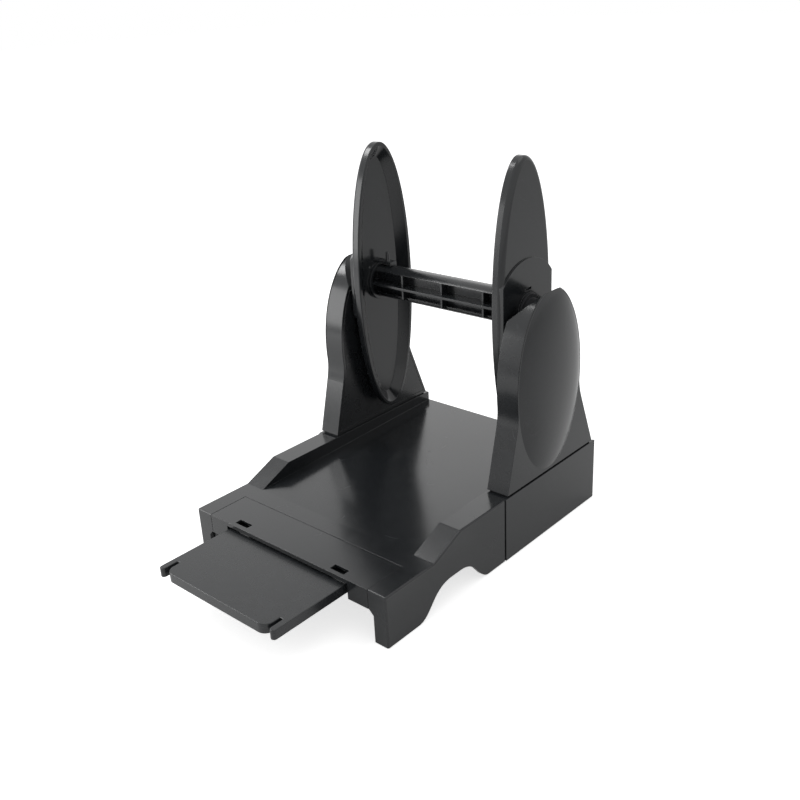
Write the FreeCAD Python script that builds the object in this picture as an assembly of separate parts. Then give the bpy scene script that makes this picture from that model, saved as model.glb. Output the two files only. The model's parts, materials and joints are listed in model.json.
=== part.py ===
import FreeCAD, Part
import math
import os

# Label roll holder for a counter: a hollow base with a pull-out tongue, two side towers, and a
# lift-out spindle with two sliding oval flanges between which a roll of labels stands.
# Millimetres. X is across the holder, Y runs from the tongue to the back, Z is up.
# Lengths along Y are counted from the front face of the base, until save() moves the origin.

# Driving dimensions: base
base_width = 160.0
base_depth = 210.4
front_height = 33.5
rear_deck_height = 37.0
rail_height = 43.5
rail_width = 15.5
ramp_start = 41.0
ramp_length = 24.0
base_wall = 2.6
base_edge_round = 1.0
block_lead = 2.5
block_proud = 0.4
groove_width = 1.0
groove_depth = 0.6
pad_stand = 0.6

# Driving dimensions: arch cut in each side wall
arch_start = 25.5
arch_top_start = 56.0
arch_top_end = 64.0
arch_end = 92.0
arch_height = 17.3
arch_foot_pull = 0.4
arch_crown_pull = 0.6

# Driving dimensions: legs and front mouth
leg_width = 9.7
skirt_depth = 12.5
leg_chamfer = 3.0

# Driving dimensions: front cover
cover_side_inset = 13.5
cover_depth = 28.0
cover_thickness = 1.8
cover_seam = 0.4
cover_ledge = 2.5
ledge_thickness = 1.5
cover_skirt_wall = 2.2
mouth_side_gap = 1.8
mouth_top_gap = 1.3
latch_slot_length = 10.8
latch_slot_width = 4.6
latch_slot_offset = 41.0
latch_slot_setback = 5.2
hook_side_inset = 7.0
hook_width = 6.0
hook_wall = 1.6
hook_grip = 1.4

# Driving dimensions: tongue
tongue_side_inset = 30.5
tongue_reach = 52.8
tongue_inner_length = 58.0
tongue_thickness = 5.9
tongue_drop = 3.9
tongue_skin = 2.2
tongue_rim = 2.0
tongue_rib = 1.6
tongue_rib_count = 3
tongue_edge_round = 0.5
prong_width = 4.1
prong_slot_width = 2.3
prong_slot_length = 10.6
nose_radius = 6.0
tongue_travel = 48.0
stop_ear_width = 2.9
stop_ear_length = 8.0

# Driving dimensions: keeper tray under the deck, which the tongue runs in
keeper_front = 4.0
keeper_floor = 2.2
keeper_wall = 2.5
slide_gap = 0.3
keeper_ear_length = 10.0
keeper_ear_width = 7.0
keeper_ear_thickness = 2.4
keeper_ear_setback = 6.0
keeper_ear_inset = 17.3
keeper_window_width = 60.0
keeper_window_length = 18.0
keeper_window_gap = 26.0

# Driving dimensions: stiffening ribs under the deck
rib_wall = 1.6
rib_depth = 3.2
cross_rib_count = 3
long_rib_offset = 38.0

# Driving dimensions: screws and pads
screw_radius = 1.4
screw_head_radius = 3.0
screw_head_height = 1.8
screw_cross_length = 3.6
screw_cross_width = 0.9
screw_cross_depth = 0.9
pilot_gap = 0.1
screw_hole_gap = 0.4
tip_gap = 0.2
keeper_screw_grip = 4.0
tower_screw_grip = 11.0
boss_wall = 2.0
tower_screw_spread = 28.5
pad_radius = 5.0
pad_thickness = 2.4
pad_pocket_gap = 0.1
pad_boss_wall = 1.5
pad_inset_side = 8.6
pad_inset_end = 9.4

# Driving dimensions: towers
tower_thickness = 15.5
tower_wall = 2.2
tower_base_gap = 1.2
plinth_inset = 1.2
head_half_width = 34.0
head_half_height = 58.75
head_drop = 42.0
head_forward = 2.2
foot_front_reach = 46.9
foot_rear_reach = 48.8
foot_neck_drop = 23.5
foot_neck_front = 37.5
foot_neck_rear = 34.6
neck_join_drop = 8.5
dome_bulge = 6.0
dome_ledge = 0.6
roof_rise = 0.3
panel_thickness = 2.2
panel_gap = 0.2

# Driving dimensions: spindle
spindle_ahead_of_back = 52.0
spindle_height = 146.5
bar_radius = 11.0
bar_cap_wall = 2.2
bar_cap_edge_height = 8.2
bar_cap_lip = 5.0
bar_web = 1.8
bar_rib = 1.6
cross_web = 1.4
cross_web_pitch = 33.0
pin_radius = 5.0
pin_end_gap = 2.4
bush_radius = 8.0
bush_collar_radius = 10.5
bush_collar = 1.5
bush_side_gap = 0.4
running_gap = 0.05
bar_end_gap = 0.2
notch_gap = 0.6
saddle_cheek = 6.0
saddle_drop = 12.0
saddle_side_gap = 0.3
saddle_top_drop = 1.5
pedestal_height = 14.0

# Driving dimensions: flanges
flange_collar_gap = 0.7
flange_half_width = 26.2
flange_half_height = 92.0
flange_depth = 7.2
flange_inner_round = 0.6
flange_outer_round = 3.0
dish_rim = 2.6
dish_slope_width = 7.0
dish_depth = 5.0
guide_wall = 2.2
guide_height = 2.6
hub_radius = 32.0
hub_proud = 1.0
hub_side_step = 0.7
clip_width = 6.0
clip_thickness = 1.3
clip_reach = 7.0
clip_rise = 1.6
clip_fit = 0.1

# Allowances: a cutting shape runs past a face, joined shapes sink in, near points count as one
past = 1.0
sunk = 0.5
touch = 0.01

# Places that follow from the driving dimensions
base_half = base_width / 2
rail_inside = base_half - rail_width
ramp_end = ramp_start + ramp_length
spindle_behind_front = base_depth - spindle_ahead_of_back
head_centre_height = spindle_height - head_drop
head_top = head_centre_height + head_half_height
foot_neck_height = head_centre_height - foot_neck_drop
neck_join_height = head_centre_height - neck_join_drop
roof_low = spindle_height + roof_rise
block_start = spindle_behind_front - foot_front_reach - block_lead
cover_half_width = base_half - cover_side_inset
skirt_bottom = front_height - skirt_depth
hook_offset = cover_half_width - hook_side_inset
tongue_half_width = base_half - tongue_side_inset
tongue_top = front_height - tongue_drop
inner_face = base_half - tower_thickness
deck_slope = (rear_deck_height - front_height) / (base_depth - ramp_start)
cover_underside = front_height - cover_thickness
ledge_underside = cover_underside - ledge_thickness
tongue_bottom = tongue_top - tongue_thickness
keeper_top = tongue_bottom - slide_gap
keeper_inner = tongue_half_width + slide_gap
keeper_wide = tongue_half_width + stop_ear_width + slide_gap
keeper_outer = keeper_wide + keeper_wall
stop_face = tongue_inner_length - stop_ear_length - slide_gap
keeper_back = tongue_inner_length + tongue_travel + slide_gap
ear_centre = keeper_outer + keeper_ear_width / 2
keeper_ear_front = cover_depth + keeper_ear_setback
keeper_ear_back = keeper_back - keeper_ear_inset
first_rib = keeper_back + keeper_wall + rib_wall
cross_rib_pitch = (base_depth - base_wall - first_rib) / cross_rib_count
ear_top = keeper_top + keeper_ear_thickness
pilot_radius = screw_radius + pilot_gap
boss_radius = pilot_radius + boss_wall
block_ceiling = rail_height - base_wall
tower_bottom = rail_height + tower_base_gap
tower_middle = base_half - tower_thickness / 2
roof_drop = tower_wall * math.sqrt(2.0)
notch_radius = bush_radius + notch_gap
collar_outer = inner_face - bush_side_gap
collar_inner = collar_outer - bush_collar
flange_outer = collar_inner - flange_collar_gap - hub_proud
flange_inner = flange_outer - flange_depth
bar_half = collar_inner - bar_end_gap
outer_wall_inside = base_half - tower_wall
pin_end = outer_wall_inside - pin_end_gap
hub_half_width = flange_half_width - hub_side_step
dish_floor = flange_inner + dish_depth
web_reach = math.sqrt(bar_radius ** 2 - bar_cap_edge_height ** 2)
head_middle = spindle_behind_front - head_forward
origin_behind_front = (base_depth - tongue_reach) / 2


def vec(x, y, z):
    return FreeCAD.Vector(x, y, z)


def block(x0, x1, y0, y1, z0, z1):
    return Part.makeBox(x1 - x0, y1 - y0, z1 - z0, vec(x0, y0, z0))


def rod_x(radius, x0, x1, y, z):
    return Part.makeCylinder(radius, x1 - x0, vec(x0, y, z), vec(1, 0, 0))


def rod_z(radius, x, y, z0, z1):
    return Part.makeCylinder(radius, z1 - z0, vec(x, y, z0), vec(0, 0, 1))


def side_prism(points, x0, x1):
    """A solid with a straight-sided outline in the YZ plane, from x0 to x1."""
    corners = [vec(x0, y, z) for y, z in points]
    face = Part.Face(Part.makePolygon(corners + corners[:1]))
    return face.extrude(vec(x1 - x0, 0, 0))


def front_prism(points, y0, y1):
    """A solid with a straight-sided outline in the XZ plane, from y0 to y1."""
    corners = [vec(x, y0, z) for x, z in points]
    face = Part.Face(Part.makePolygon(corners + corners[:1]))
    return face.extrude(vec(0, y1 - y0, 0))


def mirrored(shape):
    return shape.mirror(vec(0, 0, 0), vec(1, 0, 0))


def both_sides(shape):
    return [shape, mirrored(shape)]


def joined(shapes):
    return shapes[0].multiFuse(shapes[1:]).removeSplitter()


def deck_at(y):
    """Height of the deck's top face at a distance behind the front."""
    return front_height + deck_slope * max(0.0, y - ramp_start)


def edges_where(shape, test):
    return [edge for edge in shape.Edges if all(test(v.Point) for v in edge.Vertexes)]


def save(name, shape):
    """Moves the origin under the middle of the whole footprint and writes the piece."""
    placed = shape.copy()
    placed.translate(vec(0, -origin_behind_front, 0))
    placed.exportStep("parts/" + name + ".step")
    print(name, "solids", len(placed.Solids), "volume", round(placed.Volume, 1), placed.isValid())


# Base tray

def tray_outside():
    """Outer form: low front, ramped side rails, and a sunk deck between the rails."""
    profile = [(0, pad_stand), (0, front_height), (ramp_start, front_height),
               (ramp_end, rail_height), (base_depth, rail_height), (base_depth, pad_stand)]
    outside = side_prism(profile, -base_half, base_half)

    def on_side(point):
        return abs(abs(point.x) - base_half) < touch

    def above_table(edge):
        return edge.BoundBox.ZMax > pad_stand + touch

    sides = [edge for edge in edges_where(outside, on_side) if above_table(edge)]
    outside = outside.makeFillet(base_edge_round, sides)
    behind = base_depth + past
    over_deck = [(-past, front_height), (ramp_start, front_height), (behind, deck_at(behind)),
                 (behind, rail_height + past), (-past, rail_height + past)]
    return outside.cut(side_prism(over_deck, -rail_inside, rail_inside))


def tray_hollow():
    """The open underside: one space below the deck and one inside each rail."""
    back = base_depth - base_wall
    reach = base_half - base_wall
    low_ceiling = [(base_wall, -past), (base_wall, front_height - base_wall),
                   (ramp_start, front_height - base_wall)]
    below_deck = low_ceiling + [(back, deck_at(back) - base_wall), (back, -past)]
    in_rail = low_ceiling + [(ramp_end, block_ceiling), (back, block_ceiling), (back, -past)]
    rail_space = side_prism(in_rail, rail_inside + base_wall, reach)
    return joined([side_prism(below_deck, -reach, reach)] + both_sides(rail_space))


def arch_cutter():
    """Bell-shaped opening in the right side wall, with S-curved flanks."""
    x = base_half - base_wall - past

    def flank(foot, crown):
        run = crown - foot
        curve = Part.BezierCurve()
        curve.setPoles([vec(x, foot, pad_stand), vec(x, foot + run * arch_foot_pull, pad_stand),
                        vec(x, crown - run * arch_crown_pull, arch_height), vec(x, crown, arch_height)])
        return curve.toShape()

    rise = flank(arch_start, arch_top_start)
    top = Part.makeLine(vec(x, arch_top_start, arch_height), vec(x, arch_top_end, arch_height))
    fall = flank(arch_end, arch_top_end)
    rear = Part.makeLine(vec(x, arch_end, pad_stand), vec(x, arch_end, -past))
    bottom = Part.makeLine(vec(x, arch_end, -past), vec(x, arch_start, -past))
    front = Part.makeLine(vec(x, arch_start, -past), vec(x, arch_start, pad_stand))
    face = Part.Face(Part.Wire([rise, top, fall, rear, bottom, front]))
    return face.extrude(vec(base_wall + block_proud + 2 * past, 0, 0))


def front_openings():
    """The pocket for the front cover, its through opening, and the gap between the legs."""
    half = cover_half_width + cover_seam
    pocket = block(-half, half, -past, cover_depth + cover_seam, cover_underside, front_height + past)
    inner_half = cover_half_width - cover_ledge
    through = block(-inner_half, inner_half, -past, cover_depth - cover_ledge, -past, front_height)
    wall_back = base_wall + touch
    face_gap = block(-half, half, -past, wall_back, -past, front_height)
    leg = base_half - leg_width
    between_legs = [(-leg, -past), (-leg, skirt_bottom - leg_chamfer), (leg_chamfer - leg, skirt_bottom),
                    (leg - leg_chamfer, skirt_bottom), (leg, skirt_bottom - leg_chamfer), (leg, -past)]
    return [pocket, through, face_gap, front_prism(between_legs, -past, wall_back)]


def tray_ledge():
    """Thin ledge round the pocket that the front cover lies on."""
    half = cover_half_width + cover_seam + base_wall
    back = cover_depth + cover_seam + base_wall
    frame = block(-half, half, base_wall, back, ledge_underside, cover_underside)
    return frame.common(block(past - base_half, base_half - past, 0, back, 0, front_height))


def tray_ribs():
    """Low cross ribs and long ribs under the deck, behind the space the tongue runs into."""
    reach = rail_inside + base_wall / 2
    back = base_depth - base_wall / 2

    def top(y):
        return deck_at(y) - base_wall / 2

    def bottom(y):
        return deck_at(y) - base_wall - rib_depth

    ribs = []
    for index in range(cross_rib_count):
        y = first_rib + index * cross_rib_pitch
        ribs.append(block(-reach, reach, y, y + rib_wall, bottom(y), top(y)))
    outline = [(first_rib, bottom(first_rib)), (first_rib, top(first_rib)),
               (back, top(back)), (back, bottom(back))]
    for side in (-1, 1):
        middle = side * long_rib_offset
        ribs.append(side_prism(outline, middle - rib_wall / 2, middle + rib_wall / 2))
    return ribs


def pad_places():
    x = base_half - pad_inset_side
    return [(side * x, y) for side in (-1, 1) for y in (pad_inset_end, base_depth - pad_inset_end)]


def keeper_screw_places():
    return [(side * ear_centre, y) for side in (-1, 1) for y in (keeper_ear_front, keeper_ear_back)]


def tower_screw_places():
    return [(side * tower_middle, spindle_behind_front + reach)
            for side in (-1, 1) for reach in (-tower_screw_spread, tower_screw_spread)]


def base_tray():
    tray = tray_outside()
    proud = block(base_half - past, base_half + block_proud, block_start, base_depth,
                  pad_stand, rail_height)
    groove = block(base_half - groove_depth, base_half + past, block_start - groove_width, block_start,
                   0, rail_height + past)
    tray = joined([tray] + both_sides(proud))
    tray = tray.cut(both_sides(groove))
    tray = tray.cut(tray_hollow())
    additions = [tray_ledge()] + tray_ribs()
    for x, y in pad_places():
        top = deck_at(y) - base_wall / 2
        additions.append(rod_z(pad_radius + pad_pocket_gap + pad_boss_wall, x, y, pad_stand, top))
    for x, y in keeper_screw_places():
        additions.append(rod_z(boss_radius, x, y, ear_top, deck_at(y) - base_wall / 2))
    tray = joined([tray] + additions)
    cutters = front_openings() + both_sides(arch_cutter())
    for x, y in pad_places():
        cutters.append(rod_z(pad_radius + pad_pocket_gap, x, y, 0, pad_thickness))
    for x, y in keeper_screw_places():
        cutters.append(rod_z(pilot_radius, x, y, ear_top - past, ear_top + keeper_screw_grip + tip_gap))
    for x, y in tower_screw_places():
        cutters.append(rod_z(screw_radius + screw_hole_gap, x, y, block_ceiling - past, rail_height + past))
    return tray.cut(cutters)


def rubber_pads():
    return Part.makeCompound([rod_z(pad_radius, x, y, 0, pad_thickness) for x, y in pad_places()])


# Front cover

def front_cover():
    """Cover plate over the mouth, with a front skirt, two latch slots and two snap hooks."""
    half = cover_half_width
    plate = block(-half, half, 0, cover_depth, cover_underside, front_height)
    skirt = block(-half, half, 0, cover_skirt_wall, skirt_bottom, front_height)
    cover = joined([plate, skirt])
    mouth_half = tongue_half_width + mouth_side_gap
    cover = cover.cut(block(-mouth_half, mouth_half, -past, cover_skirt_wall + touch,
                            skirt_bottom - past, tongue_top + mouth_top_gap))
    hook_front = cover_depth - cover_ledge - slide_gap - hook_wall
    hook_bottom = ledge_underside - slide_gap - hook_grip
    for side in (-1, 1):
        middle = side * latch_slot_offset
        slot = block(middle - latch_slot_length / 2, middle + latch_slot_length / 2,
                     latch_slot_setback - latch_slot_width / 2, latch_slot_setback + latch_slot_width / 2,
                     cover_underside - past, front_height + past)
        cover = cover.cut(slot)
        left = side * hook_offset - hook_width / 2
        stem = block(left, left + hook_width, hook_front, hook_front + hook_wall,
                     hook_bottom, cover_underside)
        barb_profile = [(hook_front, hook_bottom), (hook_front, hook_bottom + hook_grip),
                        (hook_front + hook_wall + hook_grip, hook_bottom + hook_grip)]
        cover = joined([cover, stem, side_prism(barb_profile, left, left + hook_width)])
    return cover


# Tongue and its keeper

def tongue_plate():
    """Flat tongue with a prong at each front corner, stop ears behind and ribs below."""
    half = tongue_half_width
    nose = half - prong_width - prong_slot_width
    body = block(-half, half, -tongue_reach + nose_radius, tongue_inner_length, tongue_bottom, tongue_top)
    tip = block(-nose + nose_radius, nose - nose_radius, -tongue_reach, 0, tongue_bottom, tongue_top)
    body = body.cut(both_sides(block(nose, half + past, -tongue_reach - past,
                                     -tongue_reach + prong_slot_length,
                                     tongue_bottom - past, tongue_top + past)))
    corner = rod_z(nose_radius, nose - nose_radius, -tongue_reach + nose_radius, tongue_bottom, tongue_top)
    prong_x = half - prong_width / 2
    prong = block(half - prong_width, half, -tongue_reach + prong_width / 2,
                  -tongue_reach + prong_slot_length + sunk, tongue_bottom, tongue_top)
    prong_end = rod_z(prong_width / 2, prong_x, -tongue_reach + prong_width / 2, tongue_bottom, tongue_top)
    plate = joined([body, tip] + both_sides(corner) + both_sides(prong) + both_sides(prong_end))

    def on_top(point):
        return abs(point.z - tongue_top) < touch

    plate = plate.makeFillet(tongue_edge_round, edges_where(plate, on_top))
    ear = block(half - sunk, half + stop_ear_width, tongue_inner_length - stop_ear_length,
                tongue_inner_length, tongue_bottom, tongue_top - tongue_skin)
    plate = joined([plate] + both_sides(ear))
    front = -tongue_reach + prong_slot_length + tongue_rim
    back = tongue_inner_length - tongue_rim
    pitch = (back - front + tongue_rib) / (tongue_rib_count + 1)
    pockets = []
    for index in range(tongue_rib_count + 1):
        y0 = front + index * pitch
        pockets.append(block(tongue_rib / 2, half - tongue_rim, y0, y0 + pitch - tongue_rib,
                             tongue_bottom - past, tongue_top - tongue_skin))
    return plate.cut(pockets + [mirrored(pocket) for pocket in pockets])


def tongue_keeper():
    """Shallow tray screwed under the deck: floor, side walls, stop shoulders and a rear wall."""
    back = keeper_back + keeper_wall
    bottom = keeper_top - keeper_floor
    wall_top = tongue_top + slide_gap
    floor = block(-keeper_outer, keeper_outer, keeper_front, back, bottom, keeper_top)
    shoulder = block(keeper_inner, keeper_outer, keeper_front, stop_face, keeper_top, wall_top)
    side = block(keeper_wide, keeper_outer, stop_face, back, keeper_top, wall_top)
    rear = block(-keeper_outer, keeper_outer, keeper_back, back, keeper_top, wall_top)
    keeper = joined([floor, rear] + both_sides(shoulder) + both_sides(side))
    for y in (keeper_ear_front, keeper_ear_back):
        ear = block(keeper_outer, keeper_outer + keeper_ear_width, y - keeper_ear_length / 2,
                    y + keeper_ear_length / 2, keeper_top, ear_top)
        keeper = joined([keeper] + both_sides(ear))
    cutters = [rod_z(pilot_radius, x, y, bottom - past, ear_top + past)
               for x, y in keeper_screw_places()]
    middle = (keeper_front + back) / 2
    half = keeper_window_width / 2
    for start in (middle - keeper_window_gap / 2 - keeper_window_length, middle + keeper_window_gap / 2):
        cutters.append(block(-half, half, start, start + keeper_window_length,
                             bottom - past, keeper_top + past))
    return keeper.cut(cutters)


def screw(x, y, seat, grip):
    """Round-headed cross-recess screw driven upwards: head below the seat, shank above it."""
    head = rod_z(screw_head_radius, x, y, seat - screw_head_height, seat)
    shank = rod_z(screw_radius, x, y, seat, seat + grip)
    reach = screw_cross_length / 2
    half = screw_cross_width / 2
    low = seat - screw_head_height
    cross_x = block(x - reach, x + reach, y - half, y + half, low - past, low + screw_cross_depth)
    cross_y = block(x - half, x + half, y - reach, y + reach, low - past, low + screw_cross_depth)
    return joined([head, shank]).cut([cross_x, cross_y])


def keeper_screws():
    grip = keeper_ear_thickness + keeper_screw_grip
    return Part.makeCompound([screw(x, y, keeper_top, grip) for x, y in keeper_screw_places()])


def tower_screws():
    grip = base_wall + tower_screw_grip
    return Part.makeCompound([screw(x, y, block_ceiling, grip) for x, y in tower_screw_places()])


# Towers

def tower_outline(inset, x):
    """Outline of the right tower: an oval head that runs into a flared foot, drawn at x."""
    middle = spindle_behind_front
    half_width = head_half_width - inset
    half_height = head_half_height - inset
    join_drop = neck_join_height - head_centre_height
    join_angle = math.acos(join_drop / half_height)
    join_reach = half_width * math.sin(join_angle)
    lean = -join_drop * (half_width / half_height) ** 2 / join_reach
    bottom = tower_bottom + inset

    def point(reach, height):
        return vec(x, middle + reach, height)

    def flank(side, foot_reach, neck_reach):
        foot = foot_reach - inset
        neck = neck_reach - inset
        flare = (foot_reach - neck_reach) / (foot_neck_height - tower_bottom)
        foot_reach_here = foot - flare * inset
        head_reach = join_reach - side * head_forward
        rise = (neck - head_reach + lean * (neck_join_height - foot_neck_height)) / (flare + lean)
        corner = point(side * (neck - flare * rise), foot_neck_height + rise)
        side_line = Part.makeLine(point(side * foot_reach_here, bottom), point(side * neck, foot_neck_height))
        curve = Part.BezierCurve()
        curve.setPoles([point(side * neck, foot_neck_height), corner,
                        point(side * head_reach, neck_join_height)])
        return side_line, curve.toShape(), foot_reach_here

    front_line, front_curve, front_foot = flank(-1, foot_front_reach, foot_neck_front)
    rear_line, rear_curve, rear_foot = flank(1, foot_rear_reach, foot_neck_rear)
    centre = vec(x, head_middle, head_centre_height)
    oval = Part.Ellipse(centre + vec(0, 0, half_height), centre + vec(0, half_width, 0), centre)
    head = Part.ArcOfEllipse(oval, -join_angle, join_angle).toShape()
    sole = Part.makeLine(point(-front_foot, bottom), point(rear_foot, bottom))
    edges = [sole, front_line, front_curve, head, rear_curve, rear_line]
    return Part.Wire(Part.__sortEdges__(edges))


def tower_prism(inset, x0, x1):
    return Part.Face(tower_outline(inset, x0)).extrude(vec(x1 - x0, 0, 0))


def above_roof(drop):
    """Everything above the slanted roof on the tower's inner side, lowered by drop."""
    low = roof_low - drop
    rise = head_top - low
    triangle = [(inner_face - past, low - past), (inner_face + rise, head_top),
                (inner_face + rise, head_top + past), (inner_face - past, head_top + past)]
    return front_prism(triangle, 0, base_depth)


def dome(shrink):
    """Oval dome that bulges out of the tower's outer face, drawn smaller by shrink."""
    depth = dome_bulge * 2
    spread = 1 / math.sqrt(1 - (1 - dome_bulge / depth) ** 2)
    ball = Part.makeSphere(1)
    ball.rotate(vec(0, 0, 0), vec(0, 0, 1), 180)
    stretch = FreeCAD.Matrix()
    stretch.scale(depth - shrink, (head_half_width - dome_ledge) * spread - shrink,
                  (head_half_height - dome_ledge) * spread - shrink)
    oval = ball.transformGeometry(stretch)
    oval.translate(vec(base_half - dome_bulge, head_middle, head_centre_height))
    return oval


def spindle_notch(radius, x0, x1):
    """U-shaped notch, open at the top, that the spindle's end drops into."""
    y = spindle_behind_front
    slot = block(x0, x1, y - radius, y + radius, spindle_height, head_top + past)
    return joined([rod_x(radius, x0, x1, y, spindle_height), slot])


def tower_shell():
    far = base_half + dome_bulge + past
    cap = dome(0).common(block(base_half - sunk, far, 0, base_depth, 0, head_top + past))
    outside = joined([tower_prism(0, inner_face, base_half), cap])
    outside = outside.cut(above_roof(0))
    room = tower_prism(tower_wall, inner_face - past, outer_wall_inside).cut(above_roof(roof_drop))
    cap_room = dome(tower_wall).common(tower_prism(tower_wall, outer_wall_inside - sunk, far))
    shell = outside.cut([room, cap_room])
    plinth = block(inner_face + plinth_inset, base_half - plinth_inset,
                   spindle_behind_front - foot_front_reach + plinth_inset,
                   spindle_behind_front + foot_rear_reach - plinth_inset,
                   rail_height, tower_bottom + sunk)
    y = spindle_behind_front
    reach = bush_radius + running_gap + saddle_cheek
    saddle_bottom = spindle_height - bush_radius - saddle_drop
    pedestal = block(inner_face + panel_thickness + saddle_side_gap, far,
                     y - reach, y + reach, saddle_bottom - pedestal_height, saddle_bottom).common(outside)
    bosses = []
    pilots = []
    for x, place in tower_screw_places():
        if x > 0:
            top = rail_height + tower_screw_grip + boss_wall
            bosses.append(rod_z(boss_radius, x, place, rail_height, top))
            pilots.append(rod_z(pilot_radius, x, place, rail_height - past, top - boss_wall + tip_gap))
    shell = joined([shell, plinth, pedestal] + bosses)
    notch = spindle_notch(notch_radius, inner_face - past, pin_end + past)
    return shell.cut(pilots + [notch])


def inner_panel():
    """Flat panel that closes the inner side of the right tower, with the spindle notch."""
    panel = tower_prism(tower_wall + panel_gap, inner_face, inner_face + panel_thickness)
    panel = panel.cut(above_roof(roof_drop + panel_gap))
    panel_back = inner_face + panel_thickness
    return panel.cut(spindle_notch(notch_radius, inner_face - past, panel_back + past))


def saddle():
    """Half-round bearing seat inside the right tower that carries the end bush."""
    y = spindle_behind_front
    seat = bush_radius + running_gap
    reach = seat + saddle_cheek
    cradle = block(inner_face + panel_thickness + saddle_side_gap, pin_end,
                   y - reach, y + reach, spindle_height - bush_radius - saddle_drop,
                   spindle_height - saddle_top_drop)
    return cradle.cut(rod_x(seat, inner_face, pin_end + past, y, spindle_height))


# Spindle

def bar_pockets(x0, x1):
    """Four hollows along the bar between two cross webs: above and below the rib, front and back."""
    y = spindle_behind_front
    z = spindle_height
    inside = rod_x(bar_radius - bar_cap_wall, x0, x1, y, z)
    outside = y + bar_radius + past
    quarter = inside.common(block(x0, x1, y + bar_web / 2, outside, z + bar_rib / 2, z + bar_radius))
    mouth = block(x0, x1, y + bar_cap_lip, outside, z + bar_rib / 2, z + bar_cap_edge_height)
    upper_back = joined([quarter, mouth])
    upper_front = upper_back.mirror(vec(0, y, z), vec(0, 1, 0))
    pockets = [upper_back, upper_front]
    return pockets + [pocket.mirror(vec(0, y, z), vec(0, 0, 1)) for pocket in pockets]


def web_setbacks(x0, x1):
    """Cuts that set the cross webs' edges straight, level with the lips of the two caps."""
    y = spindle_behind_front
    z = spindle_height
    cut = block(x0, x1, y + web_reach, y + bar_radius + past, z + bar_rib / 2, z + bar_cap_edge_height)
    cuts = [cut, cut.mirror(vec(0, y, z), vec(0, 1, 0))]
    return cuts + [piece.mirror(vec(0, y, z), vec(0, 0, 1)) for piece in cuts]


def spindle_bar():
    y = spindle_behind_front
    z = spindle_height
    bar = rod_x(bar_radius, -bar_half, bar_half, y, z)
    webs = [-bar_half + cross_web / 2]
    reach = int((bar_half - cross_web) / cross_web_pitch)
    for index in range(-reach, reach + 1):
        webs.append(index * cross_web_pitch)
    webs.append(bar_half - cross_web / 2)
    for left, right in zip(webs[:-1], webs[1:]):
        bar = bar.cut(bar_pockets(left + cross_web / 2, right - cross_web / 2))
    bar = bar.cut(web_setbacks(cross_web - bar_half, bar_half - cross_web))
    pins = rod_x(pin_radius, -pin_end, pin_end, y, z)
    inner_pin = rod_x(pin_radius + past, -bar_half + cross_web / 2, bar_half - cross_web / 2, y, z)
    return joined([bar, pins.cut(inner_pin)])


def end_bush():
    """Collared sleeve on the right end pin: it sits still in the saddle while the pin turns."""
    y = spindle_behind_front
    z = spindle_height
    collar = rod_x(bush_collar_radius, collar_inner, collar_outer, y, z)
    sleeve = rod_x(bush_radius, collar_inner, pin_end - saddle_side_gap, y, z)
    bore = rod_x(pin_radius + running_gap, collar_inner - past, pin_end + past, y, z)
    return joined([collar, sleeve]).cut(bore)


# Flanges

def flange_oval(inset, x):
    """The flange's outline at x, drawn smaller by inset."""
    centre = vec(x, spindle_behind_front, spindle_height)
    tip = centre + vec(0, 0, flange_half_height - inset)
    side = centre + vec(0, flange_half_width - inset, 0)
    return Part.Wire([Part.Ellipse(tip, side, centre).toShape()])


def dish():
    """The shallow dish in the flange's inner side, with sloping sides."""
    mouth = flange_oval(dish_rim, flange_inner)
    bottom = flange_oval(dish_rim + dish_slope_width, dish_floor)
    before = Part.Face(mouth).extrude(vec(-past, 0, 0))
    return joined([before, Part.makeLoft([mouth, bottom], True, True)])


def clip_slot(gap):
    """Space in the flange, above the bar, that the clip's root sits in."""
    y = spindle_behind_front
    z = spindle_height + bar_radius + clip_rise
    return block(flange_inner - touch, flange_outer + hub_proud + past, y - clip_width / 2 - gap,
                 y + clip_width / 2 + gap, z - gap, z + clip_thickness + gap)


def flange():
    """Right oval flange: rounded outside with a low round hub, dished towards the roll."""
    y = spindle_behind_front
    z = spindle_height
    plate = Part.Face(flange_oval(0, flange_inner)).extrude(vec(flange_depth, 0, 0))

    def outer(edge):
        return edge.BoundBox.XMin > flange_outer - touch

    plate = plate.makeFillet(flange_outer_round, [edge for edge in plate.Edges if outer(edge)])

    def inner(edge):
        return edge.BoundBox.XMax < flange_inner + touch

    plate = plate.makeFillet(flange_inner_round, [edge for edge in plate.Edges if inner(edge)])
    hub = rod_x(hub_radius, dish_floor + touch, flange_outer + hub_proud, y, z)
    hub = hub.common(block(flange_inner, flange_outer + hub_proud, y - hub_half_width, y + hub_half_width,
                           z - hub_radius, z + hub_radius))
    guide = rod_x(bar_radius + guide_wall, dish_floor - guide_height, dish_floor + touch, y, z)
    body = joined([plate.cut(dish()), hub, guide])
    bore = rod_x(bar_radius + running_gap, flange_inner - past, flange_outer + hub_proud + past, y, z)
    return body.cut([bore, clip_slot(clip_fit)])


def flange_clip():
    """Spring finger that is snapped into the right flange and presses on the top of the bar."""
    y = spindle_behind_front
    z = spindle_height + bar_radius + clip_rise
    tip = flange_inner - clip_reach
    finger = block(tip, flange_outer, y - clip_width / 2, y + clip_width / 2, z, z + clip_thickness)
    hook = block(tip, tip + clip_thickness, y - clip_width / 2, y + clip_width / 2,
                 z - clip_rise + slide_gap, z + clip_thickness)
    return joined([finger, hook])


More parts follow.
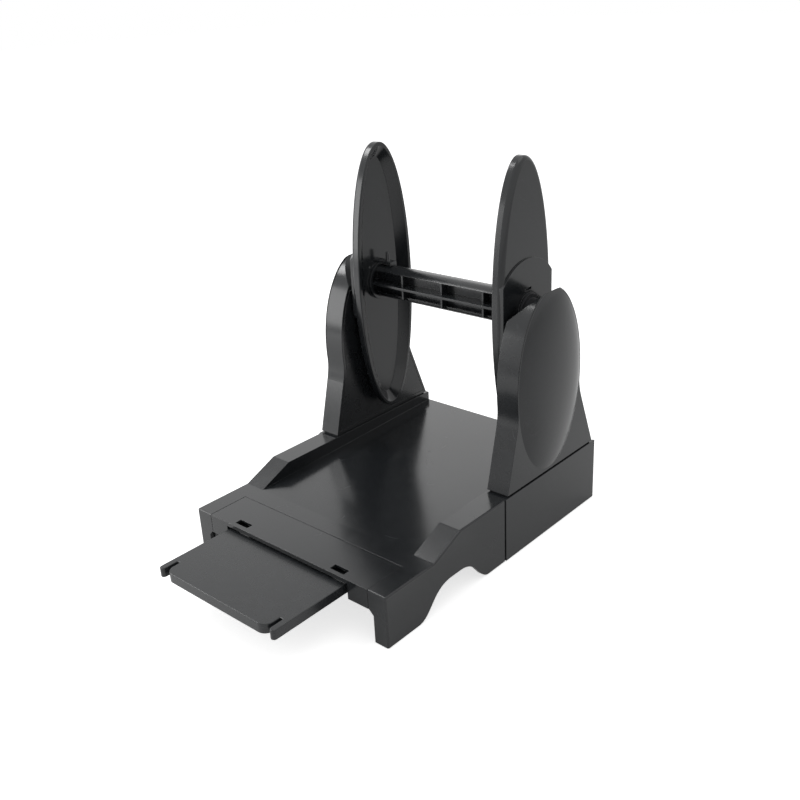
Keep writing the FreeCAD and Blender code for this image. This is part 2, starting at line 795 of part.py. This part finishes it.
def main():
    os.makedirs("parts", exist_ok=True)
    save("base_tray", base_tray())
    save("front_cover", front_cover())
    save("tongue_plate", tongue_plate())
    save("tongue_keeper", tongue_keeper())
    save("keeper_screws", keeper_screws())
    save("tower_screws", tower_screws())
    save("rubber_pads", rubber_pads())
    save("spindle_bar", spindle_bar())
    paired = {"tower_shell": tower_shell(), "inner_panel": inner_panel(), "saddle": saddle(),
              "end_bush": end_bush(), "flange": flange(), "flange_clip": flange_clip()}
    for name, shape in paired.items():
        save("right_" + name, shape)
        save("left_" + name, mirrored(shape))


main()
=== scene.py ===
# %% [markdown]
# # Label roll holder
#
# A black moulded holder that stands on a shop counter. The measured CAD model is loaded first and
# stays where it is: it is the frame that every finish and every added piece is fitted to. The
# script then gives each piece its plastic, adds two small kinds of moulded detail, sets a pale
# studio round the holder and places the camera where the photograph was taken from.

import json
import math

import bmesh
import bpy
from mathutils import Matrix, Vector


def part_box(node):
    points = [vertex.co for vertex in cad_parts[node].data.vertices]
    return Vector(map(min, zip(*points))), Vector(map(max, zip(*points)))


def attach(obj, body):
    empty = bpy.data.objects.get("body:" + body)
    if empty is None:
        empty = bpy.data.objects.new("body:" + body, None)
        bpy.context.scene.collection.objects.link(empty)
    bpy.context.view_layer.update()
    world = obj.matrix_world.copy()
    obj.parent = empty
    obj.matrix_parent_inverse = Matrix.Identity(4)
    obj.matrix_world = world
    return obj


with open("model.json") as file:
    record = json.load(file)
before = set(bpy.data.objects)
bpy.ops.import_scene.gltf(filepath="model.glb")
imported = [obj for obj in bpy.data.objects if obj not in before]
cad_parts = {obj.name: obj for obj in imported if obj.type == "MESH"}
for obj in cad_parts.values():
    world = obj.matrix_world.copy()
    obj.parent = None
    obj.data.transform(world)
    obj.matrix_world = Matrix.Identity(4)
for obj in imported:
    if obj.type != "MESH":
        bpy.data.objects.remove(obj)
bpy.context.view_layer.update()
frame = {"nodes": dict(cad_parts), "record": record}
nodes = frame["nodes"]
print("CAD nodes:", len(nodes))

# %% [markdown]
# ## Helpers for colours, nodes and sizes
#
# Blender's shaders work with linear light, while a colour read from a swatch is written as an sRGB
# hex value. One function turns the one into the other. A second one adds any node with its
# settings and its links, so a material reads as a short list of steps. Blender measures in
# metres, and a pattern's Scale is how often it repeats in one, so a third turns a real size in
# millimetres into a Scale.

# %% Colour from a hex value


def linear(hex_value):
    """The linear colour, with an alpha of 1, of an sRGB hex value such as '1c1d1f'."""
    channels = []
    for start in (0, 2, 4):
        value = int(hex_value[start:start + 2], 16) / 255
        channels.append(value / 12.92 if value <= 0.04045 else ((value + 0.055) / 1.055) ** 2.4)
    return (*channels, 1.0)


print("white in linear light:", linear("ffffff"))

# %% One function that adds any node, and one that starts a material


def add_node(tree, kind, settings=None, **links):
    """Adds a node. settings are its properties; links fill its inputs by name or by number.

    An input's name is written with _ for a space, and input number 0 is written i0.
    """
    node = tree.nodes.new(kind)
    for name, value in (settings or {}).items():
        setattr(node, name, value)
    for name, value in links.items():
        key = int(name[1:]) if name[0] == "i" and name[1:].isdigit() else name.replace("_", " ")
        socket = node.inputs[key]
        if isinstance(value, bpy.types.NodeSocket):
            tree.links.new(value, socket)
        else:
            socket.default_value = value
    return node


def new_material(name):
    """An empty node material and its tree, with the output node in place."""
    material = bpy.data.materials.new(name)
    material.use_nodes = True
    tree = material.node_tree
    tree.nodes.clear()
    output = tree.nodes.new("ShaderNodeOutputMaterial")
    return material, tree, output


# %% Millimetres
MM = 0.001


def scale_for(size_mm):
    """The Scale at which a pattern's features are this large."""
    return 1 / (size_mm * MM)


print("a 1 mm pattern has the scale", round(scale_for(1)))

# %% [markdown]
# ## Moulded ABS
#
# Nearly every piece is injection-moulded ABS, coloured black through and through. It comes out of
# a polished steel mould, so its surface is even and mirrors the studio softly. What the eye reads
# is therefore the reflection: its roughness, the slow waves of the moulding, a fine grain, and the
# small rounding that every moulded edge has. The colour itself hardly matters.
#
# A flat black with one roughness would look like a drawing, and a painted texture would slide on
# the moving pieces. So one recipe of noises on Object coordinates makes all the finishes. A coarse
# noise times a finer one varies the roughness, as flow in the mould and handling do. A fine noise
# gives the grain. Handling also leaves a few hairlines: they lie where a slow noise crosses its
# middle value, which draws long thin curves. A Bevel node rounds the edges in the shading only.

# %% Real sizes on the surface, in millimetres
patch_mm = 22
smear_mm = 6
wave_mm = 34
hairline_curl_mm = 30
scratched_patch_mm = 24
edge_samples = 6
# A noise runs from 0 to 1, but it stays mostly between these two values.
noise_low, noise_high = 0.3, 0.7
print("the largest pattern is about", wave_mm, "mm wide")

# %% A mask of hairlines


def hairlines(tree, place):
    """A mask of long thin scratches, 1 on a line. Real ones are finer and wouldn't show."""
    noise_middle = 0.5
    line_full, line_gone = 0.001, 0.005
    clean_below, scratched_above = 0.54, 0.64
    curl = add_node(tree, "ShaderNodeTexNoise", Vector=place, Scale=scale_for(hairline_curl_mm),
                    Detail=1.5, Distortion=1.2)
    apart = add_node(tree, "ShaderNodeMath", {"operation": "SUBTRACT"}, i0=curl.outputs["Fac"],
                     i1=noise_middle)
    apart = add_node(tree, "ShaderNodeMath", {"operation": "ABSOLUTE"}, i0=apart.outputs[0])
    line = add_node(tree, "ShaderNodeMapRange", Value=apart.outputs[0], From_Min=line_full,
                    From_Max=line_gone, To_Min=1.0, To_Max=0.0)
    where = add_node(tree, "ShaderNodeTexNoise", Vector=place,
                     Scale=scale_for(scratched_patch_mm), Detail=1.0)
    some = add_node(tree, "ShaderNodeMapRange", Value=where.outputs["Fac"],
                    From_Min=clean_below, From_Max=scratched_above)
    both = add_node(tree, "ShaderNodeMath", {"operation": "MULTIPLY"}, i0=line.outputs[0],
                    i1=some.outputs[0])
    return both.outputs[0]


# %% The recipe for moulded plastic


def moulded_plastic(name, colour, roughness, spread, grain_mm, grain_depth_mm, wave_depth_mm,
                    edge_mm, ior=1.50):
    """A dielectric with uneven roughness, a fine grain, slow waves and rounded edges."""
    rougher_on_scratch = 0.10
    paler_on_scratch = 0.5
    darkest, lightest = 0.92, 1.1
    material, tree, output = new_material(name)
    place = add_node(tree, "ShaderNodeTexCoord").outputs["Object"]
    # Roughness: patches times smears. What lies past these two products is cut off.
    product_low, product_high = 0.15, 0.38
    patches = add_node(tree, "ShaderNodeTexNoise", Vector=place, Scale=scale_for(patch_mm),
                       Detail=3.0)
    smears = add_node(tree, "ShaderNodeTexNoise", Vector=place, Scale=scale_for(smear_mm),
                      Detail=2.0, Roughness=0.5)
    both = add_node(tree, "ShaderNodeMath", {"operation": "MULTIPLY"},
                    i0=patches.outputs["Fac"], i1=smears.outputs["Fac"])
    rough = add_node(tree, "ShaderNodeMapRange", Value=both.outputs[0], From_Min=product_low,
                     From_Max=product_high, To_Min=roughness - spread,
                     To_Max=roughness + spread)
    scratched = hairlines(tree, place)
    worn = add_node(tree, "ShaderNodeMath", {"operation": "MULTIPLY_ADD"}, i0=scratched,
                    i1=rougher_on_scratch, i2=rough.outputs[0])
    # Colour: the smears tint it a little, and a scratch is paler.
    tint = add_node(tree, "ShaderNodeHueSaturation", Color=linear(colour))
    lighter = add_node(tree, "ShaderNodeMapRange", Value=smears.outputs["Fac"],
                       From_Min=noise_low, From_Max=noise_high, To_Min=darkest,
                       To_Max=lightest)
    pale = add_node(tree, "ShaderNodeMath", {"operation": "MULTIPLY_ADD"}, i0=scratched,
                    i1=paler_on_scratch, i2=lighter.outputs[0])
    tree.links.new(pale.outputs[0], tint.inputs["Value"])
    # Relief: rounded edges first, then the slow waves, then the grain.
    rounded = add_node(tree, "ShaderNodeBevel", {"samples": edge_samples}, Radius=edge_mm * MM)
    waves = add_node(tree, "ShaderNodeTexNoise", Vector=place, Scale=scale_for(wave_mm),
                     Detail=1.0)
    waved = add_node(tree, "ShaderNodeBump", Height=waves.outputs["Fac"], Strength=1.0,
                     Distance=wave_depth_mm * MM, Normal=rounded.outputs[0])
    grain = add_node(tree, "ShaderNodeTexNoise", Vector=place, Scale=scale_for(grain_mm),
                     Detail=2.0)
    grained = add_node(tree, "ShaderNodeBump", Height=grain.outputs["Fac"], Strength=1.0,
                       Distance=grain_depth_mm * MM, Normal=waved.outputs[0])
    shader = add_node(tree, "ShaderNodeBsdfPrincipled", Base_Color=tint.outputs[0],
                      Roughness=worn.outputs[0], IOR=ior, Normal=grained.outputs[0])
    tree.links.new(shader.outputs[0], output.inputs["Surface"])
    return material


# %% The four plastics
finishes = {
    # Polished mould: the base, the towers and the flanges mirror the studio softly.
    "black_shell": moulded_plastic(
        "moulded_abs_semi_gloss", "1f2123", roughness=0.19, spread=0.012, grain_mm=0.8,
        grain_depth_mm=0.0008, wave_depth_mm=0.015, edge_mm=0.45),
    # The sliding pieces come from a finer-eroded mould and are a little duller.
    "black_slider": moulded_plastic(
        "moulded_abs_satin", "222426", roughness=0.27, spread=0.03, grain_mm=0.7,
        grain_depth_mm=0.0002, wave_depth_mm=0.02, edge_mm=0.35),
    # Inner pieces are left with the plain texture of the tool.
    "black_inner": moulded_plastic(
        "moulded_abs_inner", "1d1f21", roughness=0.30, spread=0.05, grain_mm=0.7,
        grain_depth_mm=0.0015, wave_depth_mm=0.02, edge_mm=0.3),
    # The bearings are acetal, which is waxy and slightly translucent to the eye.
    "bearing_plastic": moulded_plastic(
        "moulded_acetal", "2a2b2d", roughness=0.35, spread=0.05, grain_mm=0.9,
        grain_depth_mm=0.002, wave_depth_mm=0.02, edge_mm=0.25, ior=1.48),
}
print("plastics:", sorted(finishes))

# %% [markdown]
# ## Rubber and zinc
#
# The pads are nitrile rubber: dark, with a dry, broad sheen. The screws are steel with a thin coat
# of zinc, so they are the only metal on the holder. Both can be seen only from below, so a colour
# and a roughness that follow one noise are enough: dust on the rubber, and the small patches of
# crystals that dull the zinc.

# %% Nitrile rubber


def nitrile_rubber():
    """Dark rubber, dusty in patches of about a millimetre."""
    material, tree, output = new_material("nitrile_rubber")
    place = add_node(tree, "ShaderNodeTexCoord").outputs["Object"]
    dust = add_node(tree, "ShaderNodeTexNoise", Vector=place, Scale=scale_for(1.2), Detail=5.0)
    tone = add_node(tree, "ShaderNodeValToRGB", Fac=dust.outputs["Fac"])
    tone.color_ramp.elements[0].color = linear("1d1d1e")
    tone.color_ramp.elements[1].color = linear("343435")
    bump = add_node(tree, "ShaderNodeBump", Height=dust.outputs["Fac"], Distance=0.03 * MM)
    shader = add_node(tree, "ShaderNodeBsdfPrincipled", Base_Color=tone.outputs[0], Roughness=0.8,
                      IOR=1.52, Normal=bump.outputs[0])
    tree.links.new(shader.outputs[0], output.inputs["Surface"])
    return material


finishes["pad_rubber"] = nitrile_rubber()
print("added:", finishes["pad_rubber"].name)

# %% Zinc on steel


def zinc_plated_steel():
    """Bright grey metal whose roughness changes in patches of about a millimetre."""
    material, tree, output = new_material("zinc_plated_steel")
    place = add_node(tree, "ShaderNodeTexCoord").outputs["Object"]
    spangle = add_node(tree, "ShaderNodeTexNoise", Vector=place, Scale=scale_for(0.9), Detail=3.0)
    smoothest, roughest = 0.28, 0.42
    rough = add_node(tree, "ShaderNodeMapRange", Value=spangle.outputs["Fac"],
                     From_Min=noise_low, From_Max=noise_high, To_Min=smoothest,
                     To_Max=roughest)
    tone = add_node(tree, "ShaderNodeValToRGB", Fac=spangle.outputs["Fac"])
    tone.color_ramp.elements[0].color = linear("b9bcc0")
    tone.color_ramp.elements[1].color = linear("d0d2d4")
    shader = add_node(tree, "ShaderNodeBsdfPrincipled", Base_Color=tone.outputs[0], Metallic=1.0,
                      Roughness=rough.outputs[0])
    tree.links.new(shader.outputs[0], output.inputs["Surface"])
    return material


finishes["screw_steel"] = zinc_plated_steel()
print("added:", finishes["screw_steel"].name)

# %% Give every CAD piece its finish
slot_of = {part["node"]: part["material_slot"] for part in frame["record"]["subparts"]}
for name, piece in nodes.items():
    if not piece.material_slots:
        piece.data.materials.append(None)
    for slot in piece.material_slots:
        slot.material = finishes[slot_of[name]]
print("finished nodes:", len(slot_of))

# %% [markdown]
# ## Small moulded details
#
# The measured model holds the main forms. Two small things are left for this script. A peg stands
# on each spring clip, so that a fingertip can lift the clip off the bar and let the flange slide.
# Beside each bar hole a low dome shows where the plastic ran into the mould. Stacked cylinders
# would leave steps, but both things are round, so each is a profile that is spun about its axis,
# and then turned and set in place in its mesh.

# %% A helper that turns a profile into a piece


def turned_piece(name, profile, axis, place, body, finish):
    """Spins points of (radius, height) in mm about their axis and sets the piece at place."""
    spin_steps = 40
    same_point = 0.002 * MM
    shape = bmesh.new()
    points = [shape.verts.new((radius * MM, 0.0, height * MM)) for radius, height in profile]
    lines = [shape.edges.new(pair) for pair in zip(points, points[1:])]
    bmesh.ops.spin(shape, geom=points + lines, cent=(0, 0, 0), axis=(0, 0, 1), dvec=(0, 0, 0),
                   angle=math.tau, steps=spin_steps, use_merge=True, use_duplicate=False)
    bmesh.ops.remove_doubles(shape, verts=shape.verts, dist=same_point)
    bmesh.ops.recalc_face_normals(shape, faces=shape.faces)
    turn = Vector((0, 0, 1)).rotation_difference(Vector(axis)).to_matrix().to_4x4()
    bmesh.ops.transform(shape, matrix=Matrix.Translation(place) @ turn, verts=shape.verts)
    mesh = bpy.data.meshes.new(name)
    shape.to_mesh(mesh)
    shape.free()
    for face in mesh.polygons:
        face.use_smooth = True
    piece = bpy.data.objects.new(name, mesh)
    bpy.context.scene.collection.objects.link(piece)
    piece.data.materials.append(finishes[finish])
    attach(piece, body)
    return piece


# %% The two profiles and where they stand
peg_profile = [(0, 0), (1.75, 0), (1.7, 0.25), (1.4, 0.5), (1.25, 1.0), (1.15, 5.6), (1.05, 6.0),
               (0.8, 6.3), (0.4, 6.45), (0, 6.5)]
gate_profile = [(0, 0), (1.2, 0), (1.2, 0.25), (1.0, 0.5), (0.55, 0.62), (0.3, 0.64), (0.25, 0.8),
                (0, 0.84)]
peg_from_tip = 4.8 * MM
gate_from_axis = 10.2 * MM
dish_depth = 5.0 * MM
sunk = 0.25 * MM
bar_low, bar_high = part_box("spindle_bar")
axis_height = (bar_low[2] + bar_high[2]) / 2
print("the bar's axis is", round(axis_height / MM, 1), "mm up")

# %% A peg on each clip and a gate mark on each flange
for hand, side in (("left", -1), ("right", 1)):
    low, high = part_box(hand + "_flange_clip")
    tip = min(abs(low[0]), abs(high[0]))
    along = (low[1] + high[1]) / 2
    peg = turned_piece(hand + "_clip_peg", peg_profile, (0, 0, 1),
                       (side * (tip + peg_from_tip), along, high[2] - sunk), hand + "_guide",
                       slot_of[hand + "_flange_clip"])
    flange_low, flange_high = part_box(hand + "_flange")
    dish_floor = min(abs(flange_low[0]), abs(flange_high[0])) + dish_depth
    gate = turned_piece(hand + "_gate_mark", gate_profile, (-side, 0, 0),
                        (side * (dish_floor + sunk), along - gate_from_axis,
                         axis_height + gate_from_axis), hand + "_guide",
                        slot_of[hand + "_flange"])
    print(peg.name, gate.name, len(peg.data.polygons) + len(gate.data.polygons), "faces")

# %% [markdown]
# ## Studio
#
# The photograph was taken on a white ground under large soft lamps. A black glossy thing looks
# like what it mirrors, so the white round it and the lamps' places matter more than the light that
# falls on it. The floor scatters light as pale paper does and keeps the shadow. More light would
# make it white but would grey the plastic, so it glows a little instead, for the camera and in
# reflections only. The world does the same behind it.

# %% Paper floor
floor_size = 12.0
floor_lift = 0.7
floor_in_reflections = 0.3
fibre_mm = 3


def paper_floor():
    """Matt white paper that glows faintly for the camera and in reflections."""
    material, tree, output = new_material("white_paper")
    place = add_node(tree, "ShaderNodeTexCoord").outputs["Object"]
    fibres = add_node(tree, "ShaderNodeTexNoise", Vector=place, Scale=scale_for(fibre_mm),
                      Detail=3.0)
    tone = add_node(tree, "ShaderNodeValToRGB", Fac=fibres.outputs["Fac"])
    tone.color_ramp.elements[0].color = linear("eeeeee")
    tone.color_ramp.elements[1].color = linear("f4f4f4")
    paper = add_node(tree, "ShaderNodeBsdfDiffuse", Color=tone.outputs[0])
    path = add_node(tree, "ShaderNodeLightPath")
    seen = add_node(tree, "ShaderNodeMath", {"operation": "MAXIMUM"},
                    i0=path.outputs["Is Camera Ray"], i1=path.outputs["Is Transmission Ray"])
    mirrored = add_node(tree, "ShaderNodeMath", {"operation": "MULTIPLY_ADD"},
                        i0=path.outputs["Is Glossy Ray"], i1=floor_in_reflections,
                        i2=seen.outputs[0])
    strength = add_node(tree, "ShaderNodeMath", {"operation": "MULTIPLY"},
                        i0=mirrored.outputs[0], i1=floor_lift)
    glow = add_node(tree, "ShaderNodeEmission", Color=linear("ffffff"),
                    Strength=strength.outputs[0])
    both = add_node(tree, "ShaderNodeAddShader", i0=paper.outputs[0], i1=glow.outputs[0])
    tree.links.new(both.outputs[0], output.inputs["Surface"])
    return material


floor_mesh = bpy.data.meshes.new("floor")
shape = bmesh.new()
bmesh.ops.create_grid(shape, x_segments=1, y_segments=1, size=floor_size / 2)
shape.to_mesh(floor_mesh)
shape.free()
floor = bpy.data.objects.new("floor", floor_mesh)
bpy.context.scene.collection.objects.link(floor)
floor.data.materials.append(paper_floor())
print("floor:", floor_size, "m square")

# %% White world
fill_level = 0.55
seen_level = 1.0
world = bpy.data.worlds.new("white_studio")
bpy.context.scene.world = world
world.use_nodes = True
world_tree = world.node_tree
world_tree.nodes.clear()
path = add_node(world_tree, "ShaderNodeLightPath")
seen = add_node(world_tree, "ShaderNodeMath", {"operation": "MAXIMUM"},
                i0=path.outputs["Is Camera Ray"], i1=path.outputs["Is Glossy Ray"])
seen = add_node(world_tree, "ShaderNodeMath", {"operation": "MAXIMUM"},
                i0=seen.outputs[0], i1=path.outputs["Is Transmission Ray"])
strength = add_node(world_tree, "ShaderNodeMapRange", Value=seen.outputs[0], To_Min=fill_level,
                    To_Max=seen_level)
backdrop = add_node(world_tree, "ShaderNodeBackground", Color=linear("ffffff"),
                    Strength=strength.outputs[0])
world_out = world_tree.nodes.new("ShaderNodeOutputWorld")
world_tree.links.new(backdrop.outputs[0], world_out.inputs["Surface"])
print("the world lights the holder at", fill_level, "and is seen at", seen_level)

# %% Soft lamps


def soft_lamp(name, place, aim, width, height, power):
    """A rectangular soft box that faces the point aim. Lengths in metres, power in watts."""
    light = bpy.data.lights.new(name, "AREA")
    light.shape = "RECTANGLE"
    light.size = width
    light.size_y = height
    light.energy = power
    lamp = bpy.data.objects.new(name, light)
    bpy.context.scene.collection.objects.link(lamp)
    lamp.visible_camera = False
    lamp.location = place
    lamp.rotation_euler = (Vector(aim) - Vector(place)).to_track_quat("-Z", "Y").to_euler()
    return lamp


middle = (0.0, 0.0, 0.10)
soft_lamp("front_left_box", place=(-0.48, -0.38, 0.22), aim=(-0.15, -0.05, 0.05),
          width=0.35, height=0.35, power=1.3)
soft_lamp("upper_left_box", place=(-0.68, -0.17, 0.90), aim=(-0.07, 0.04, 0.19),
          width=0.26, height=0.40, power=3.0)
soft_lamp("overhead_box", place=(0.1, 0.2, 1.25), aim=middle,
          width=0.9, height=0.7, power=1.6)
soft_lamp("left_rear_box", place=(-0.80, 0.58, 0.46), aim=middle,
          width=0.45, height=0.40, power=0.2)
soft_lamp("rear_left_box", place=(-0.796, 1.115, 0.65), aim=middle,
          width=0.45, height=0.6, power=0.6)

# %% [markdown]
# ## Camera
#
# The camera's place was worked out from the corners of the base, whose edges run towards three
# vanishing points in the photograph. It stands to the holder's right front, looks down by 23.6
# degrees and is rolled a little. Three vectors built from those angles give its matrix directly,
# which keeps the roll that a Track To constraint would take away.

# %% Camera at the photograph's viewpoint
turn = math.radians(42.485)
tilt = math.radians(23.601)
roll = math.radians(-3.009)
distance = 0.57476
sensor_mm = 36.0
lens_mm = 43.82
target = Vector((0.025341, 0.000621, 0.106146))
back = Vector((math.sin(turn) * math.cos(tilt), -math.cos(turn) * math.cos(tilt), math.sin(tilt)))
right = Vector((math.cos(turn), math.sin(turn), 0.0))
up = back.cross(right)
right_rolled = math.cos(roll) * right + math.sin(roll) * up
up_rolled = math.cos(roll) * up - math.sin(roll) * right
place = target + back * distance
camera_data = bpy.data.cameras.new("camera")
camera_data.sensor_width = sensor_mm
camera_data.lens = lens_mm
camera_data.clip_start = 0.01
camera = bpy.data.objects.new("camera", camera_data)
bpy.context.scene.collection.objects.link(camera)
camera.matrix_world = Matrix((
    (right_rolled.x, up_rolled.x, back.x, place.x),
    (right_rolled.y, up_rolled.y, back.y, place.y),
    (right_rolled.z, up_rolled.z, back.z, place.z),
    (0.0, 0.0, 0.0, 1.0)))
bpy.context.scene.camera = camera
bpy.context.scene.view_settings.view_transform = "Standard"
print("camera at", [round(v, 3) for v in place])
